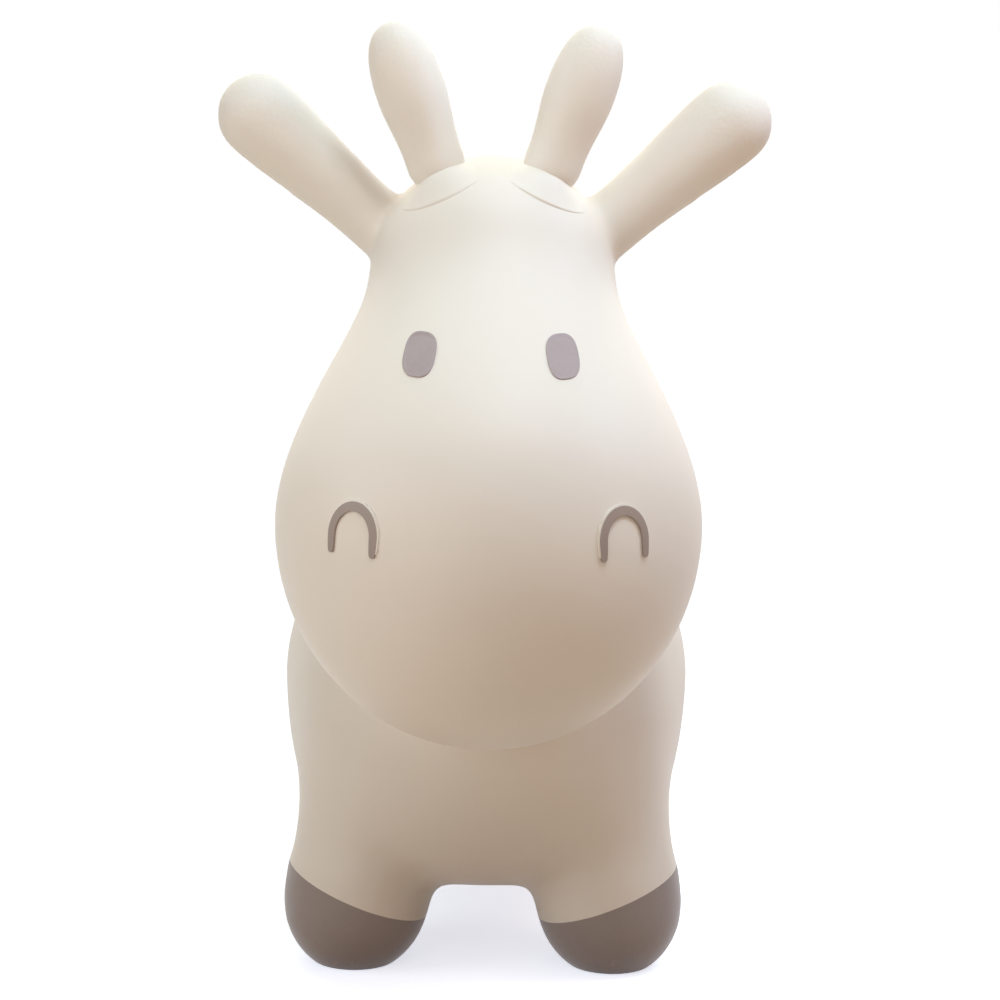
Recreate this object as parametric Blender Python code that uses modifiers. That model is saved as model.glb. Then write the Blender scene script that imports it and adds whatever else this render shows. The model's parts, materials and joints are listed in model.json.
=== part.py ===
"""Inflatable animal hopper: an air-filled vinyl calf that a child sits on and holds by its ears and horns.

Metres, +Z up. The face looks along -Y, the floor is z = 0 and the origin is under the middle of the box.
The moulded skin is divided where it flexes, where one form meets the next and where the paint changes.
Each form is a closed solid that stands for a thin skin full of air.
"""

import math

import bmesh
import bpy
from mathutils import Matrix, Vector

# Clearances
SKIN_GAP = 0.0003  # between two forms of the skin
ROOT_CLEARANCE = 0.0006  # round the ball root of an ear or horn
PLUG_CLEARANCE = 0.0003  # round the shank of the air plug

# Head: a pear turned about an axis that leans forward
HEAD_REACH = 0.1300  # muzzle in front of the chest
MUZZLE_RADIUS = 0.1130
MUZZLE_LIFT = 0.0150  # muzzle centre above the back
CROWN_RADIUS = 0.0670
CROWN_LIFT = 0.1240  # crown centre above the muzzle centre
CROWN_SETBACK = 0.0650  # crown centre behind the muzzle centre

# Torso: a barrel with a saddle pressed into its back
TORSO_LENGTH = 0.4100
TORSO_WIDTH = 0.2400
TORSO_HEIGHT = 0.2200
BELLY_HEIGHT = 0.0370  # floor to belly
TORSO_SQUARENESS = 2.7  # exponent of the barrel's section, 2 is an ellipsoid
SADDLE_DIP = 0.0180
SADDLE_SPAN = 0.2300  # along the back

# Neck: joins the chest to the back of the head
NECK_LOW_RADIUS = 0.0880
NECK_HIGH_RADIUS = 0.0620

# Legs and hooves
FOOT_RADIUS = 0.0410
HIP_RADIUS = 0.0460
LEG_SPLAY_ANGLE = math.radians(11.0)
FRONT_FOOT_SPREAD = 0.0725  # centre line to foot centre
REAR_FOOT_SPREAD = 0.0740
FRONT_FOOT_INSET = 0.0800  # chest front to foot centre
REAR_FOOT_INSET = 0.0800  # rump rear to foot centre
SOLE_FLAT_DEPTH = 0.0045  # cut off the round sole
HOOF_HEIGHT = 0.0430  # paint line at the leg's middle
HOOF_ROLL_ANGLE = math.radians(22.0)  # paint line climbs to the outside

# Ears
EAR_LENGTH = 0.1060  # flex axis to tip
EAR_GRIP_RADIUS = 0.0230
EAR_NECK_RADIUS = 0.0170
EAR_ROOT_ANGLE = math.radians(25.5)  # on the crown, above the horizontal
EAR_RISE_ANGLE = math.radians(41.0)
EAR_SETBACK = 0.0100

# Horns
HORN_LENGTH = 0.0760
HORN_GRIP_RADIUS = 0.0172
HORN_NECK_RADIUS = 0.0148
HORN_ROOT_ANGLE = math.radians(64.0)
HORN_RISE_ANGLE = math.radians(71.2)
HORN_SETBACK = -0.0140
HORN_MOUND_RADIUS = 0.0280
HORN_MOUND_RISE = 0.0060  # mound above the crown

# Ball roots of the ears and horns
ROOT_RADIUS = 0.0180
ROOT_LIFT = 0.0060  # ball centre above the crown

# Painted relief on the face
EYE_WIDTH = 0.0175
EYE_HEIGHT = 0.0340
EYE_ANGLE = math.radians(32.5)  # round the crown from the face's middle
EYE_LIFT = 0.0965  # above the muzzle centre
EYE_LEAN_ANGLE = math.radians(-23.0)
NOSTRIL_WIDTH = 0.0300
NOSTRIL_HEIGHT = 0.0300
NOSTRIL_STROKE = 0.0052
NOSTRIL_ANGLE = math.radians(36.4)  # round the muzzle from the face's middle
NOSTRIL_LIFT = 0.0120  # above the muzzle centre
RELIEF = 0.0012  # paint and its raised bed above the skin

# Tail
TAIL_LENGTH = 0.0380  # between the centres of its ends
TAIL_TIP_RADIUS = 0.0140
TAIL_ROOT_RADIUS = 0.0110
TAIL_INSET = 0.0560  # rump rear to the tail's root
TAIL_RISE_ANGLE = math.radians(58.0)

# Air valve in the belly
VALVE_BORE = 0.0090
VALVE_SLEEVE = 0.0160
VALVE_FLANGE = 0.0260
VALVE_FLANGE_THICKNESS = 0.0025
VALVE_DEPTH = 0.0160
PLUG_HEAD = 0.0180
PLUG_HEAD_THICKNESS = 0.0030
PLUG_LENGTH = 0.0140

# Facets
ROUND_STEPS = 32
LIMB_STEPS = 24
CAP_STEPS = 6  # in a quarter circle of a turned profile

# Colours
CREAM = (0.84, 0.80, 0.735)
MAUVE = (0.43, 0.37, 0.35)
HOOF_MAUVE = (0.39, 0.335, 0.31)
PLUG_WHITE = (0.80, 0.78, 0.74)

# Positions that follow from the sizes above
OVERALL_LENGTH = TORSO_LENGTH + HEAD_REACH
FRONT_END = -OVERALL_LENGTH / 2
REAR_END = OVERALL_LENGTH / 2
CHEST_FRONT = REAR_END - TORSO_LENGTH
BACK_HEIGHT = BELLY_HEIGHT + TORSO_HEIGHT
TORSO_CENTRE = Vector((0.0, REAR_END - TORSO_LENGTH / 2, BELLY_HEIGHT + TORSO_HEIGHT / 2))
MUZZLE_CENTRE = Vector((0.0, FRONT_END + MUZZLE_RADIUS, BACK_HEIGHT + MUZZLE_LIFT))
CROWN_CENTRE = MUZZLE_CENTRE + Vector((0.0, CROWN_SETBACK, CROWN_LIFT))
NECK_FOOT = Vector((0.0, MUZZLE_CENTRE.y + MUZZLE_RADIUS, BACK_HEIGHT - NECK_LOW_RADIUS))
NECK_TOP = CROWN_CENTRE.lerp(MUZZLE_CENTRE, 0.2)
SIDES = {"left": 1.0, "right": -1.0}  # the animal's own sides
UP = Vector((0.0, 0.0, 1.0))
BACK = Vector((0.0, 1.0, 0.0))
SIDEWAYS = Vector((1.0, 0.0, 0.0))


def clear_scene():
    for obj in list(bpy.data.objects):
        bpy.data.objects.remove(obj)


def new_collection(name):
    made = bpy.data.collections.new(name)
    bpy.context.scene.collection.children.link(made)
    return made


def new_material(name, colour, roughness):
    made = bpy.data.materials.new(name)
    made.use_nodes = True
    shader = made.node_tree.nodes["Principled BSDF"]
    shader.inputs["Base Color"].default_value = (*colour, 1.0)
    shader.inputs["Roughness"].default_value = roughness
    shader.inputs["Metallic"].default_value = 0.0
    return made


def add_object(name, mesh, place, look=None):
    """Links a mesh at a world matrix: a part of the hopper when it has a look, otherwise a cutter."""
    obj = bpy.data.objects.new(name, mesh)
    obj.matrix_world = place
    if look is None:
        CUTTERS.objects.link(obj)
        obj.hide_render = True
        obj.display_type = "WIRE"
    else:
        HOPPER.objects.link(obj)
        mesh.materials.append(look)
    return obj


def along(origin, direction, across):
    """The matrix that stands local +Z along a direction, with local +X as near as it can be to another."""
    z_axis = direction.normalized()
    y_axis = z_axis.cross(across).normalized()
    x_axis = y_axis.cross(z_axis)
    turn = Matrix((x_axis, y_axis, z_axis)).transposed().to_4x4()
    return Matrix.Translation(origin) @ turn


def smoothstep(t):
    return t * t * (3.0 - 2.0 * t)


def arc(radius, height, start, end, steps=CAP_STEPS):
    """Profile points (radius, height) on a circle centred on the axis, angles up from the horizontal."""
    angles = [start + (end - start) * i / steps for i in range(steps + 1)]
    return [(max(0.0, radius * math.cos(a)), height + radius * math.sin(a)) for a in angles]


def taper(top_radius, top, bottom_radius, bottom, steps):
    """Profile points strictly between two radii, which leave both of them without a corner."""
    shares = [i / steps for i in range(1, steps)]
    return [
        (top_radius + (bottom_radius - top_radius) * smoothstep(t), top + (bottom - top) * t)
        for t in shares
    ]


def capsule_profile(top_radius, bottom_radius, length, steps):
    """A round-ended form from its top pole down, with the bottom end's centre at height 0."""
    return (
        arc(top_radius, length, math.pi / 2, 0.0)
        + taper(top_radius, length, bottom_radius, 0.0, steps)
        + arc(bottom_radius, 0.0, 0.0, -math.pi / 2)
    )


def club_profile(length, grip_radius, neck_radius, steps):
    """A round-tipped grip on a ball root whose centre is at height 0."""
    neck_angle = math.acos(neck_radius / ROOT_RADIUS)
    neck_height = ROOT_RADIUS * math.sin(neck_angle)
    grip_height = length - grip_radius
    return (
        arc(grip_radius, grip_height, math.pi / 2, 0.0)
        + taper(grip_radius, grip_height, neck_radius, neck_height, steps)
        + arc(ROOT_RADIUS, 0.0, neck_angle, -math.pi / 2, 2 * CAP_STEPS - 2)
    )


def grown(obj, by):
    """Moves a form's surface outwards, so that what it cuts keeps a gap."""
    if by:
        swell = obj.modifiers.new("gap", "DISPLACE")
        swell.mid_level = 0.0
        swell.strength = by
    return obj


def turned(name, profile, steps, place, look=None, grow=0.0, closed=False):
    """A solid turned about its own Z from (radius, height) points that run down its outer side."""
    points = [(radius, 0.0, height) for radius, height in profile]
    edges = [(i, i + 1) for i in range(len(points) - 1)]
    if closed:
        edges.append((len(points) - 1, 0))
    mesh = bpy.data.meshes.new(name)
    mesh.from_pydata(points, edges, [])
    obj = add_object(name, mesh, place, look)
    screw = obj.modifiers.new("turn", "SCREW")
    screw.axis = "Z"
    screw.steps = steps
    screw.render_steps = steps
    screw.use_merge_vertices = True
    screw.merge_threshold = 1e-5
    screw.use_smooth_shade = True
    return grown(obj, grow)


def ball(name, radius, centre):
    """A sphere that cuts a seat or adds a mound."""
    shape = bmesh.new()
    bmesh.ops.create_uvsphere(shape, u_segments=LIMB_STEPS, v_segments=LIMB_STEPS // 2, radius=radius)
    mesh = bpy.data.meshes.new(name)
    shape.to_mesh(mesh)
    shape.free()
    return add_object(name, mesh, Matrix.Translation(centre))


def half_space(name, point, normal, size=2.0 * OVERALL_LENGTH):
    """A block that fills the space behind a plane."""
    shape = bmesh.new()
    bmesh.ops.create_cube(shape, size=size, matrix=Matrix.Translation((0.0, 0.0, -size / 2)))
    mesh = bpy.data.meshes.new(name)
    shape.to_mesh(mesh)
    shape.free()
    return add_object(name, mesh, along(point, normal, BACK))


def combine(obj, operation, *others):
    for other in others:
        step = obj.modifiers.new(other.name, "BOOLEAN")
        step.operation = operation
        step.solver = "EXACT"
        step.object = other


def torso_form(name, look=None, grow=0.0):
    """A barrel along Y whose back dips under the rider."""
    shape = bmesh.new()
    lay_down = Matrix.Rotation(math.pi / 2, 4, "X")
    bmesh.ops.create_uvsphere(
        shape, u_segments=ROUND_STEPS, v_segments=ROUND_STEPS // 2, radius=1.0, matrix=lay_down
    )
    half = Vector((TORSO_WIDTH, TORSO_LENGTH, TORSO_HEIGHT)) / 2
    for vertex in shape.verts:
        power = sum(abs(c) ** TORSO_SQUARENESS for c in vertex.co)
        reach = power ** (-1.0 / TORSO_SQUARENESS)
        place = Vector(c * reach * h for c, h in zip(vertex.co, half))
        if place.z > 0.0 and abs(place.y) < SADDLE_SPAN / 2:
            press = math.cos(math.pi * place.y / SADDLE_SPAN) ** 2
            place.z -= SADDLE_DIP * press * place.z / half.z
        vertex.co = place
    bmesh.ops.triangulate(shape, faces=shape.faces)  # so that a grown copy keeps the same facets
    for face in shape.faces:
        face.smooth = True
    mesh = bpy.data.meshes.new(name)
    shape.to_mesh(mesh)
    shape.free()
    return grown(add_object(name, mesh, Matrix.Translation(TORSO_CENTRE), look), grow)


def head_form(name, look=None, grow=0.0):
    axis = CROWN_CENTRE - MUZZLE_CENTRE
    profile = capsule_profile(CROWN_RADIUS, MUZZLE_RADIUS, axis.length, 8)
    place = along(MUZZLE_CENTRE, axis, SIDEWAYS)
    return turned(name, profile, ROUND_STEPS, place, look, grow)


def neck_form(name, look=None, grow=0.0):
    axis = NECK_TOP - NECK_FOOT
    profile = capsule_profile(NECK_HIGH_RADIUS, NECK_LOW_RADIUS, axis.length, 4)
    place = along(NECK_FOOT, axis, SIDEWAYS)
    return turned(name, profile, ROUND_STEPS, place, look, grow)


def prism(name, outline, depth, place, look):
    """A flat outline of (x, y) points made a solid of a depth, half of it on each side."""
    curve = bpy.data.curves.new(name, "CURVE")
    curve.dimensions = "2D"
    curve.fill_mode = "BOTH"
    curve.extrude = depth / 2
    spline = curve.splines.new("POLY")
    spline.points.add(len(outline) - 1)
    for point, (x, y) in zip(spline.points, outline):
        point.co = (x, y, 0.0, 1.0)
    spline.use_cyclic_u = True
    drawn = bpy.data.objects.new(name + "_outline", curve)
    CUTTERS.objects.link(drawn)
    graph = bpy.context.evaluated_depsgraph_get()
    mesh = bpy.data.meshes.new_from_object(drawn.evaluated_get(graph))
    bpy.data.objects.remove(drawn)
    shape = bmesh.new()
    shape.from_mesh(mesh)
    bmesh.ops.remove_doubles(shape, verts=shape.verts, dist=1e-6)
    bmesh.ops.recalc_face_normals(shape, faces=shape.faces)
    shape.to_mesh(mesh)
    shape.free()
    mesh.materials.clear()
    return add_object(name, mesh, place, look)


def eye_outline(steps=24, squareness=2.5):
    """An oval a little squarer than an ellipse."""
    points = []
    for i in range(steps):
        angle = 2.0 * math.pi * i / steps
        c, s = math.cos(angle), math.sin(angle)
        reach = (abs(c) ** squareness + abs(s) ** squareness) ** (-1.0 / squareness)
        points.append((c * reach * EYE_WIDTH / 2, s * reach * EYE_HEIGHT / 2))
    return points


def nostril_outline(steps=12):
    """An arch open at its lower end, drawn with a stroke of one width."""
    outer = NOSTRIL_WIDTH / 2
    inner = outer - NOSTRIL_STROKE
    spring = NOSTRIL_HEIGHT / 2 - outer  # height at which the arch leaves its straight feet
    foot = -NOSTRIL_HEIGHT / 2
    turn = [math.pi * i / steps for i in range(steps + 1)]
    over = [(outer * math.cos(a), spring + outer * math.sin(a)) for a in turn]
    under = [(inner * math.cos(a), spring + inner * math.sin(a)) for a in reversed(turn)]
    return [(outer, foot)] + over + [(-outer, foot), (-inner, foot)] + under + [(inner, foot)]


def face_place(form, across, height, lean):
    """The matrix on the head's surface in front of a point, +Z out of the skin and +Y up the face."""
    graph = bpy.context.evaluated_depsgraph_get()
    shape = form.evaluated_get(graph)
    to_form = shape.matrix_world.inverted()
    start = to_form @ Vector((across, FRONT_END - MUZZLE_RADIUS, height))
    found, point, normal, _ = shape.ray_cast(start, to_form.to_3x3() @ BACK)
    if not found:
        raise ValueError("no head surface at this height")
    out = (shape.matrix_world.to_3x3() @ normal).normalized()
    sideways = UP.cross(out)
    flat = along(shape.matrix_world @ point, out, sideways)
    return flat @ Matrix.Rotation(lean, 4, "Z")


def relief(name, outline, place, look):
    """A painted area that stands a little proud of the head and follows its curve."""
    piece = prism(name, outline, MUZZLE_RADIUS / 3, place, look)
    combine(piece, "INTERSECT", HEAD_RELIEF)
    combine(piece, "DIFFERENCE", HEAD_CLEAR)
    return piece


def build_head():
    head = head_form("head", CREAM_VINYL)
    for side, sign in SIDES.items():
        horn_seat = crown_point(sign, HORN_ROOT_ANGLE, HORN_SETBACK)
        ear_seat = crown_point(sign, EAR_ROOT_ANGLE, EAR_SETBACK)
        mound_reach = CROWN_RADIUS + HORN_MOUND_RISE - HORN_MOUND_RADIUS
        mound_centre = CROWN_CENTRE + (horn_seat - CROWN_CENTRE).normalized() * mound_reach
        combine(head, "UNION", ball(f"horn_mound_{side}", HORN_MOUND_RADIUS, mound_centre))
        for name, seat in ((f"horn_seat_{side}", horn_seat), (f"ear_seat_{side}", ear_seat)):
            combine(head, "DIFFERENCE", ball(name, ROOT_RADIUS + ROOT_CLEARANCE, seat))
    combine(head, "DIFFERENCE", torso_form("head_torso_gap", grow=SKIN_GAP))
    return head


def crown_point(sign, angle, setback):
    """The centre of a ball root above the crown, at an angle up from the crown's side."""
    reach = CROWN_RADIUS + ROOT_LIFT
    level = math.sqrt(reach**2 - setback**2)
    return CROWN_CENTRE + Vector((sign * level * math.cos(angle), setback, level * math.sin(angle)))


def build_grip(name, sign, seat, rise, length, grip_radius, neck_radius):
    """An ear or horn: its origin is on its flex axis, its local X, and its tip swings fore and aft."""
    direction = Vector((sign * math.cos(rise), 0.0, math.sin(rise)))
    flex_axis = direction.cross(BACK)
    profile = club_profile(length, grip_radius, neck_radius, 7)
    return turned(name, profile, LIMB_STEPS, along(seat, direction, flex_axis), CREAM_VINYL)


def build_leg(name, sign, spread, along_y):
    """A leg and its hoof, one form parted at the paint line and cut flat at the floor."""
    foot = Vector((sign * spread, along_y, FOOT_RADIUS - SOLE_FLAT_DEPTH))
    lean = Vector((-sign * math.sin(LEG_SPLAY_ANGLE), 0.0, math.cos(LEG_SPLAY_ANGLE)))
    hip_height = TORSO_CENTRE.z - foot.z - HIP_RADIUS / 2
    profile = capsule_profile(HIP_RADIUS, FOOT_RADIUS, hip_height, 4)
    place = along(foot, lean, SIDEWAYS)
    line = foot + lean * (HOOF_HEIGHT - foot.z)
    up_from_hoof = Vector((-sign * math.sin(HOOF_ROLL_ANGLE), 0.0, math.cos(HOOF_ROLL_ANGLE)))
    leg = turned(f"leg_{name}", profile, LIMB_STEPS, place, CREAM_VINYL)
    combine(leg, "DIFFERENCE", half_space(f"paint_line_{name}", line, up_from_hoof))
    combine(leg, "DIFFERENCE", TORSO_CLEAR)
    hoof = turned(f"hoof_{name}", profile, LIMB_STEPS, place, HOOF_PAINT)
    below_line = half_space(f"hoof_keep_{name}", line - up_from_hoof * SKIN_GAP, up_from_hoof)
    combine(hoof, "INTERSECT", below_line)
    combine(hoof, "DIFFERENCE", FLOOR)


def valve_profile(grow=0.0, bore=0.0):
    """The seat's section from its outer face down, with +Z out of the belly."""
    flange, sleeve = VALVE_FLANGE / 2 + grow, VALVE_SLEEVE / 2 + grow
    shelf, floor = -VALVE_FLANGE_THICKNESS - grow, -VALVE_DEPTH - grow
    outside = VALVE_DEPTH if grow else 0.0
    return [
        (bore / 2, outside),
        (flange, outside),
        (flange, shelf),
        (sleeve, shelf),
        (sleeve, floor),
        (bore / 2, floor),
    ]


def plug_profile():
    head, shank = PLUG_HEAD / 2, VALVE_BORE / 2 - PLUG_CLEARANCE
    under = SKIN_GAP
    top = under + PLUG_HEAD_THICKNESS
    edge = PLUG_HEAD_THICKNESS / 3
    return [
        (0.0, top),
        (head - edge, top),
        (head, top - edge),
        (head, under),
        (shank, under),
        (shank, -PLUG_LENGTH * 0.6),
        (shank * 0.7, -PLUG_LENGTH),
        (0.0, -PLUG_LENGTH),
    ]


clear_scene()
HOPPER = new_collection("animal_hopper")
CUTTERS = new_collection("cutters")
CREAM_VINYL = new_material("cream_vinyl", CREAM, 0.55)
FACE_PAINT = new_material("face_paint", MAUVE, 0.5)
HOOF_PAINT = new_material("hoof_paint", HOOF_MAUVE, 0.5)
PLUG_PLASTIC = new_material("plug_plastic", PLUG_WHITE, 0.4)

# Shapes that cut several pieces
TORSO_CLEAR = torso_form("torso_gap", grow=SKIN_GAP)
HEAD_CLEAR = head_form("head_gap", grow=SKIN_GAP)
HEAD_RELIEF = head_form("head_relief", grow=SKIN_GAP + RELIEF)
FLOOR = half_space("floor", Vector((0.0, 0.0, 0.0)), UP)

# Torso with the valve's pocket
belly = Matrix.Translation((0.0, TORSO_CENTRE.y, BELLY_HEIGHT)) @ Matrix.Rotation(math.pi, 4, "X")
torso = torso_form("torso", CREAM_VINYL)
combine(torso, "DIFFERENCE", turned("valve_pocket", valve_profile(SKIN_GAP), LIMB_STEPS, belly))
turned("valve_seat", valve_profile(bore=VALVE_BORE), LIMB_STEPS, belly, CREAM_VINYL, closed=True)
turned("valve_plug", plug_profile(), LIMB_STEPS, belly, PLUG_PLASTIC)

# Head, neck and face
head = build_head()
neck = neck_form("neck", CREAM_VINYL)
combine(neck, "DIFFERENCE", TORSO_CLEAR, HEAD_CLEAR)
for side, sign in SIDES.items():
    eye_across = sign * CROWN_RADIUS * math.sin(EYE_ANGLE)
    eye_place = face_place(HEAD_CLEAR, eye_across, MUZZLE_CENTRE.z + EYE_LIFT, sign * EYE_LEAN_ANGLE)
    relief(f"eye_{side}", eye_outline(), eye_place, FACE_PAINT)
    nostril_across = sign * MUZZLE_RADIUS * math.sin(NOSTRIL_ANGLE)
    nostril_place = face_place(HEAD_CLEAR, nostril_across, MUZZLE_CENTRE.z + NOSTRIL_LIFT, 0.0)
    relief(f"nostril_{side}", nostril_outline(), nostril_place, FACE_PAINT)

# Ears, horns, legs and tail
for side, sign in SIDES.items():
    ear_seat = crown_point(sign, EAR_ROOT_ANGLE, EAR_SETBACK)
    ear_sizes = (EAR_LENGTH, EAR_GRIP_RADIUS, EAR_NECK_RADIUS)
    build_grip(f"ear_{side}", sign, ear_seat, EAR_RISE_ANGLE, *ear_sizes)
    horn_seat = crown_point(sign, HORN_ROOT_ANGLE, HORN_SETBACK)
    horn_sizes = (HORN_LENGTH, HORN_GRIP_RADIUS, HORN_NECK_RADIUS)
    build_grip(f"horn_{side}", sign, horn_seat, HORN_RISE_ANGLE, *horn_sizes)
    build_leg(f"front_{side}", sign, FRONT_FOOT_SPREAD, CHEST_FRONT + FRONT_FOOT_INSET)
    build_leg(f"rear_{side}", sign, REAR_FOOT_SPREAD, REAR_END - REAR_FOOT_INSET)
tail_root = Vector((0.0, REAR_END - TAIL_INSET, BACK_HEIGHT - TAIL_INSET / 2))
tail_way = Vector((0.0, math.cos(TAIL_RISE_ANGLE), math.sin(TAIL_RISE_ANGLE)))
tail_profile = capsule_profile(TAIL_TIP_RADIUS, TAIL_ROOT_RADIUS, TAIL_LENGTH, 4)
tail = turned("tail", tail_profile, LIMB_STEPS, along(tail_root, tail_way, SIDEWAYS), CREAM_VINYL)
combine(tail, "DIFFERENCE", TORSO_CLEAR)
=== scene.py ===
"""Inflatable animal hopper: a cream vinyl calf with mauve-grey hooves, eyes and nostrils on a pale floor.

Metres, +Z up. The face looks along -Y and the animal's own left is +X.
The skin is modelled as one soft form, then parted where the ears bend and where the hooves are painted.
"""

import json
import math

import bmesh
import bpy
from mathutils import Matrix, Vector

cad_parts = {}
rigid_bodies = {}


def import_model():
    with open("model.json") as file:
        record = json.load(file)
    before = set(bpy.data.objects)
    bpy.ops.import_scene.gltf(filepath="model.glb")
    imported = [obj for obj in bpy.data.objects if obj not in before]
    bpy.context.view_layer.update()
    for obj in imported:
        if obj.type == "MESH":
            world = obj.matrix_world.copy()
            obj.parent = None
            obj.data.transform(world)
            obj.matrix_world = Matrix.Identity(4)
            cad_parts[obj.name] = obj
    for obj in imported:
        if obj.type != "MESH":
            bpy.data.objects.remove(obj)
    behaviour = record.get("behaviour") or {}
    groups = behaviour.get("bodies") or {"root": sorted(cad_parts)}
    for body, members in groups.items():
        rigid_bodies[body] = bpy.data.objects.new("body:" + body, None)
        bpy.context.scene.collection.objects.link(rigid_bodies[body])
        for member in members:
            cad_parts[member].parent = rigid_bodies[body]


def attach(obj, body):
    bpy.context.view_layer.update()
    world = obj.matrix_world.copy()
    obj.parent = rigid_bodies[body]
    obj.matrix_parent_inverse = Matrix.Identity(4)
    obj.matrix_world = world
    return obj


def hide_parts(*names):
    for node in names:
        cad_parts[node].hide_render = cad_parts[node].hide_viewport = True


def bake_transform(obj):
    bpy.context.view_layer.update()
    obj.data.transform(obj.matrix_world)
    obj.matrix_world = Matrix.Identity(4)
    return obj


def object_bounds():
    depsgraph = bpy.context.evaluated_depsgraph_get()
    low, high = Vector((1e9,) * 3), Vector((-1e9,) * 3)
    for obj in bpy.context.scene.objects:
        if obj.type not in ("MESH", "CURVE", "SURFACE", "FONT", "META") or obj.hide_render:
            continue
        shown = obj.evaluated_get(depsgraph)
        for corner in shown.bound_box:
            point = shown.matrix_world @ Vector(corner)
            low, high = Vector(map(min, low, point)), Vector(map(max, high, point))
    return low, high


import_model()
CAD_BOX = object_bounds()

# Head and neck
MUZZLE_CENTRE = Vector((0.0, -0.157, 0.272))
MUZZLE_RADIUS = 0.113
CHIN_STRETCH = 1.06  # of the muzzle's lower end along the head
CHEEK_FILL = 2.0  # fuller below the crown than an even taper
CROWN_CENTRE = Vector((0.0, -0.092, 0.396))
CROWN_RADIUS = 0.067
NECK_FOOT = Vector((0.0, -0.044, 0.169))
NECK_TOP = CROWN_CENTRE.lerp(MUZZLE_CENTRE, 0.2)
NECK_LOW_RADIUS = 0.088
NECK_HIGH_RADIUS = 0.062

# Torso
TORSO_CENTRE = Vector((0.0, 0.065, 0.147))
TORSO_HALF = Vector((0.121, 0.206, 0.111))
TORSO_ROUNDNESS = 0.69  # 0 is a box, 1 an ellipsoid
TORSO_CUTS = 31  # across each face of the box that it starts as
TORSO_SOFTENING = 110  # passes over its corners
SADDLE_DIP = 0.018
SADDLE_REACH = 0.115  # fore and aft of the saddle's middle
FLANK_DROP = 0.055  # torso centre down to the fullest line of the flanks
FLANK_SWELL = 1.015  # of the width along that line
FLANK_REACH = 0.06
BRISKET_DROP = 0.004  # of the chest between the forelegs
BRISKET_REACH = 0.055

# Legs and hooves
FEET = {
    "front_left": Vector((0.0725, -0.060, 0.0365)),
    "front_right": Vector((-0.0725, -0.060, 0.0365)),
    "rear_left": Vector((0.0740, 0.190, 0.0365)),
    "rear_right": Vector((-0.0740, 0.190, 0.0365)),
}
FOOT_RADIUS = 0.0425
FOOT_STRETCH = 1.08  # of the foot down past the floor, where its sole is cut flat
HIP_RADIUS = 0.046
LEG_LENGTH = 0.0875  # foot centre to hip centre
LEG_SPLAY = math.radians(11.0)
HOOF_LINE = 0.0065  # paint line above the foot centre
HOOF_ROLL = math.radians(22.0)  # the paint line climbs outwards
HOOF_REACH = 0.060  # round the foot centre, of what can be cut off as a hoof
HOOF_TOP = 0.09  # above the floor, likewise
HOOF_BEVEL = 0.0007

# Ears and horns: root, direction and sizes on the animal's left
EAR_ROOT = Vector((0.06527, -0.082, 0.42713))
EAR_RISE = math.radians(41.0)
EAR_LENGTH = 0.106
EAR_GRIP_RADIUS = 0.0233
EAR_NECK_RADIUS = 0.0178
EAR_NECK = 0.004  # root to the low end of its taper
EAR_SUNK = 0.022  # root down to the centre of its round end, inside the head
EAR_CUT = 0.016  # root to the line where the ear is parted from the skin
EAR_REACH = 0.0285  # round its axis, of what can be cut off as an ear
EAR_START = 0.008  # root along its axis to where that begins
HORN_ROOT = Vector((0.0320, -0.106, 0.46039))
HORN_RISE = math.radians(70.2)
HORN_LENGTH = 0.0760
HORN_GRIP_RADIUS = 0.0187
HORN_GRIP = 0.038  # root to the horn's fullest line
HORN_BLUNTNESS = 2.35  # 2 gives an elliptic tip
HORN_NECK_RADIUS = 0.0156
HORN_NECK = 0.004  # root to the low end of its taper
MOUND_RADIUS = 0.028
MOUND_RISE = 0.0025  # of its middle over its edge
MOUND_SWELL = 0.0040  # of the bulge just in front of the horn
MOUND_SWELL_REACH = 0.021
MOUND_SWELL_PLACE = 0.011  # in front of the mound's middle
MOUND_SINK = 0.0019  # of its edge below the crown, before it is tilted
MOUND_TILT = math.radians(4.2)  # lifts its front edge out of the crown
MOUND_SWING = math.radians(18.0)  # of the lifted edge, from the front outwards
MOUND_TURN = math.radians(4.0)  # its middle in front of the horn
MOUND_STEPS = 28
MOUND_WALL = 0.008  # edge down to its flat underside

# Face
EYE_PLACE = (0.036, 0.3672)  # across, height
EYE_SIZE = (0.0162, 0.0242)  # as seen from the front
EYE_LEAN = math.radians(10.0)  # of its top inwards
EYE_SQUARENESS = 2.7  # 2 is an ellipse
EYE_FACING = Vector((0.0, -0.986, 0.165))
EYE_RIM = 0.0010
EYE_RISE = 0.0008
EYE_DISH = 0.0002  # of the pad inside its rim
EYE_BEVEL = 0.0003
EYE_STEPS = 64
EYE_RINGS = (0.97, 0.86, 0.84, 0.80, 0.74, 0.64, 0.50)  # each to the ring outside it
NOSTRIL_PLACE = (0.0676, 0.2804)
NOSTRIL_RADIUS = 0.0155
NOSTRIL_STROKE = 0.0044
NOSTRIL_HEIGHT = 1.12  # of the arch, to a half circle's
NOSTRIL_RISE = 0.0012
NOSTRIL_BEVEL = 0.0006
NOSTRIL_FOOT = 0.0094
NOSTRIL_FOOT_STEPS = (  # share of the foot's length, width to the step before
    (0.34, 0.94),
    (0.33, 0.92),
    (0.18, 0.90),
    (0.08, 0.76),
    (0.05, 0.62),
    (0.02, 0.40),
)
BED_LIP = 0.0009  # of the moulded bed past the paint's outer edge
BED_INSET = 0.0010  # of its inner edge under the paint
BED_RISE = 0.0009
BED_FOOT = NOSTRIL_FOOT * 0.8
PAINT_DEPTH = 0.0006  # sunk into the skin
LAYING_HEIGHT = 0.03  # off the skin, before a flat piece is dropped onto it

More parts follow.
